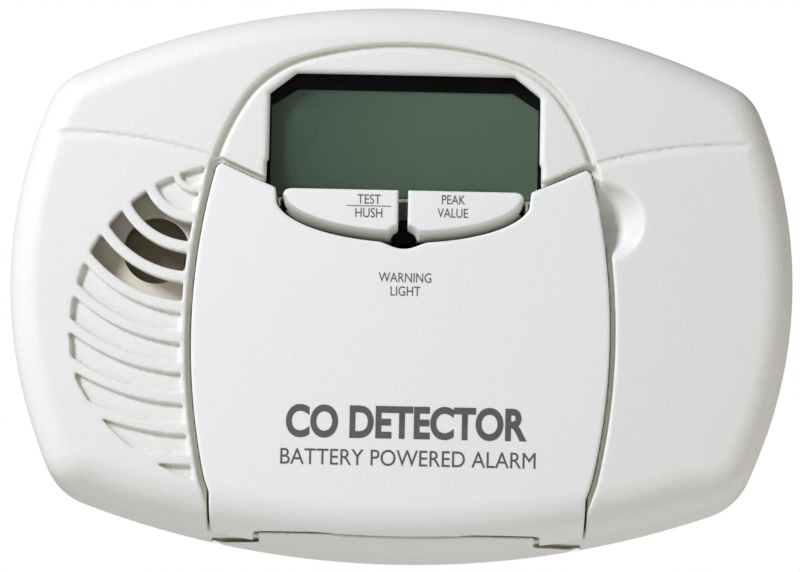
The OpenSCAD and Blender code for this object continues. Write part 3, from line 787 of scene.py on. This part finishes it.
def printWords(name, what, body, weight=0.0, back=0.0):
    text, middle, height, width = what
    curve = bpy.data.curves.new(name, "FONT")
    curve.body = text
    curve.align_x, curve.align_y = "CENTER", "CENTER"
    curve.offset = weight
    curve.resolution_u = 6
    temp = bpy.data.objects.new(name + "_outline", curve)
    bpy.context.scene.collection.objects.link(temp)
    dg = bpy.context.evaluated_depsgraph_get()
    mesh = bpy.data.meshes.new_from_object(temp.evaluated_get(dg))
    bpy.data.objects.remove(temp)
    co = np.zeros(len(mesh.vertices) * 3, np.float32)
    mesh.vertices.foreach_get("co", co)
    co = co.reshape(-1, 3)
    low, high = co.min(0), co.max(0)
    x = (co[:, 0] - (low[0] + high[0]) / 2) * width / (high[0] - low[0]) + middle[0]
    z = (co[:, 1] - (low[1] + high[1]) / 2) * height / (high[1] - low[1]) + middle[1]
    mesh.vertices.foreach_set("co", np.stack([x, 0 * x, z], 1).astype(np.float32).ravel())
    return inkMesh(name, mesh, body, back)


def printRule(name, middle, body, back):
    n = 12
    mesh = bpy.data.meshes.new(name)
    wide, high = words["ruleWide"] / 2, words["ruleHigh"] / 2
    verts = [(middle[0] + wide * (2 * i / n - 1), 0, middle[1] + side * high)
             for i in range(n + 1) for side in (-1, 1)]
    mesh.from_pydata(verts, [], [(2 * i, 2 * i + 2, 2 * i + 3, 2 * i + 1) for i in range(n)])
    return inkMesh(name, mesh, body, back)


printWords("door_words_large", words["big"], "door", weight=0.035)
printWords("door_words_small", words["small"], "door")
printWords("warning_words", words["lamp"], "door")
printWords("test_words", words["test"], "test_key", back=keys["faceBack"])
printRule("test_rule", words["test"][1], "test_key", keys["faceBack"])
printWords("peak_words", words["peak"], "peak_key", back=keys["faceBack"])
print("words printed")

# display: a painted shadow under the window's upper edge and sides, and faint resting segments on the glass
display = dict(
    edgeTop=34.1, shoulderX=19.6, shoulderZ=31.0, edgeX=24.35,     # where the painted shadow ends and the pale glass begins
    outerTop=37.4, outerX=25.9, outerShoulder=33.6, outerCorner=21.2, bottom=12.4,
    segments=((-18.0, 30.0, 7.7), (-19.3, 26.3, 6.0), (-20.2, 22.6, 4.4), (-20.9, 18.9, 2.5)),
    segmentHigh=2.7, segmentLine=0.16,
    paintedShadowGap=0.04, segmentGap=0.02,     # behind the window, and in front of the glass
)
# near-black ink for the painted shadow sheet
paintedShadowInk = mouldedPlastic("painted_shadow_ink", (0.0035, 0.0045, 0.005), bump=0.002, soft=0.0, shine=0.1)
segmentInk = mouldedPlastic("segment_ink", (0.068, 0.106, 0.08), rough=0.3, bump=0.002, soft=0.0)


def flatPiece(name, verts, faces, y, ink):
    mesh = bpy.data.meshes.new(name)
    mesh.from_pydata([(x * mm, y * mm, z * mm) for x, z in verts], [], faces)
    ob = bpy.data.objects.new(name, mesh)
    bpy.context.scene.collection.objects.link(ob)
    return carry(ob, "alarm", ink)


# the dark band is painted shadow: the shade the window's edge casts on the recessed glass, laid as a flat
# black sheet behind the lens
def makePaintedShadow():
    d = display
    inner = [(d["shoulderX"], d["edgeTop"]), (d["edgeX"], d["shoulderZ"]), (d["edgeX"], d["bottom"])]
    outer = [(d["outerCorner"], d["outerTop"]), (d["outerX"], d["outerShoulder"]), (d["outerX"], d["bottom"])]
    inner, outer = ([(-x, z) for x, z in reversed(half)] + half for half in (inner, outer))
    faces = [(i, i + 1, i + 7, i + 6) for i in range(5)]
    y = lensHigh[1] + d["paintedShadowGap"]
    return flatPiece("display_painted_shadow", inner + outer, faces, y, paintedShadowInk)


def makeSegments():
    d = display
    verts, faces = [], []
    for x, z, wide in d["segments"]:
        a, b, t = wide / 2, d["segmentHigh"] / 2, d["segmentLine"]
        k = len(verts)
        for u, v in ((a, b), (a - t, b - t)):
            verts += [(x - u, z - v), (x + u, z - v), (x + u, z + v), (x - u, z + v)]
        faces += [(k + i, k + (i + 1) % 4, k + 4 + (i + 1) % 4, k + 4 + i) for i in range(4)]
    glassLow, _ = boxMm("lcd_panel")
    y = glassLow[1] - d["segmentGap"]
    return flatPiece("display_segments", verts, faces, y, segmentInk)


makePaintedShadow()
makeSegments()
print("display dressed")

# room, light and camera
def stagePlane(name, size, place, turn, colour, glow):
    mesh = bpy.data.meshes.new(name)
    s = size / 2
    mesh.from_pydata([(-s, -s, 0), (s, -s, 0), (s, s, 0), (-s, s, 0)], [], [(0, 1, 2, 3)])
    ob = bpy.data.objects.new(name, mesh)
    bpy.context.scene.collection.objects.link(ob)
    ob.location, ob.rotation_euler = place, turn
    m, tree, bsdf = nodesOf(name)
    bsdf.inputs["Base Color"].default_value = (*colour, 1)
    bsdf.inputs["Roughness"].default_value = 0.9
    bsdf.inputs["Emission Color"].default_value = (*colour, 1)
    bsdf.inputs["Emission Strength"].default_value = glow     # light that a pale room throws back up
    mesh.materials.append(m)
    return ob


stagePlane("floor", 8.0, (0, 0, -0.35), (0, 0, 0), (0.88, 0.87, 0.85), 0.15)


def lamp(name, place, aim, size, watts, colour=(1, 1, 1)):
    data = bpy.data.lights.new(name, "AREA")
    data.energy, data.size, data.color = watts, size, colour
    ob = bpy.data.objects.new(name, data)
    bpy.context.scene.collection.objects.link(ob)
    ob.location = place
    ob.rotation_euler = (Vector(aim) - Vector(place)).to_track_quat("-Z", "Y").to_euler()
    return ob


lamp("key", (-0.60, -0.60, 0.48), (0, 0, 0), 0.22, 8.5, (0.94, 0.975, 1.05))
lamp("fill", (1.0, -0.20, -0.28), (0, 0, 0), 0.8, 3.9, (1.0, 0.985, 0.95))

world = bpy.data.worlds.new("studio")
bpy.context.scene.world = world
world.use_nodes = True
wt = world.node_tree
sky = wt.nodes["Background"]
seen = add(wt, "ShaderNodeLightPath")
strength = add(wt, "ShaderNodeMapRange")
strength.inputs["To Min"].default_value = 0.2
strength.inputs["To Max"].default_value = 1.0
wt.links.new(seen.outputs["Is Camera Ray"], strength.inputs["Value"])
wt.links.new(strength.outputs["Result"], sky.inputs["Strength"])
tint = add(wt, "ShaderNodeMix", data_type="RGBA")
tint.inputs["A"].default_value = (1.0, 0.95, 0.79, 1)     # a warm room; the camera sees plain white
tint.inputs["B"].default_value = (1, 1, 1, 1)
wt.links.new(seen.outputs["Is Camera Ray"], tint.inputs["Factor"])
wt.links.new(tint.outputs["Result"], sky.inputs["Color"])

camData = bpy.data.cameras.new("camera")
cam = bpy.data.objects.new("camera", camData)
bpy.context.scene.collection.objects.link(cam)
bpy.context.scene.camera = cam
view = dict(away=0.700, elevation=-5.0, roll=1.2, lens=168.55, aim=(-0.00028, -0.015, 0.00009))
e = math.radians(view["elevation"])
backward = Vector((0, -math.cos(e), math.sin(e)))
cam.location = Vector(view["aim"]) + backward * view["away"]
cam.rotation_mode = "QUATERNION"
roll = Matrix.Rotation(math.radians(view["roll"]), 4, "Z").to_quaternion()
cam.rotation_quaternion = (-backward).to_track_quat("-Z", "Y") @ roll
camData.lens = view["lens"]
camData.sensor_width = 36
camData.clip_start, camData.clip_end = 0.05, 20
bpy.context.scene.render.resolution_x = 800
bpy.context.scene.render.resolution_y = 572
bpy.context.scene.view_settings.view_transform = "Standard"
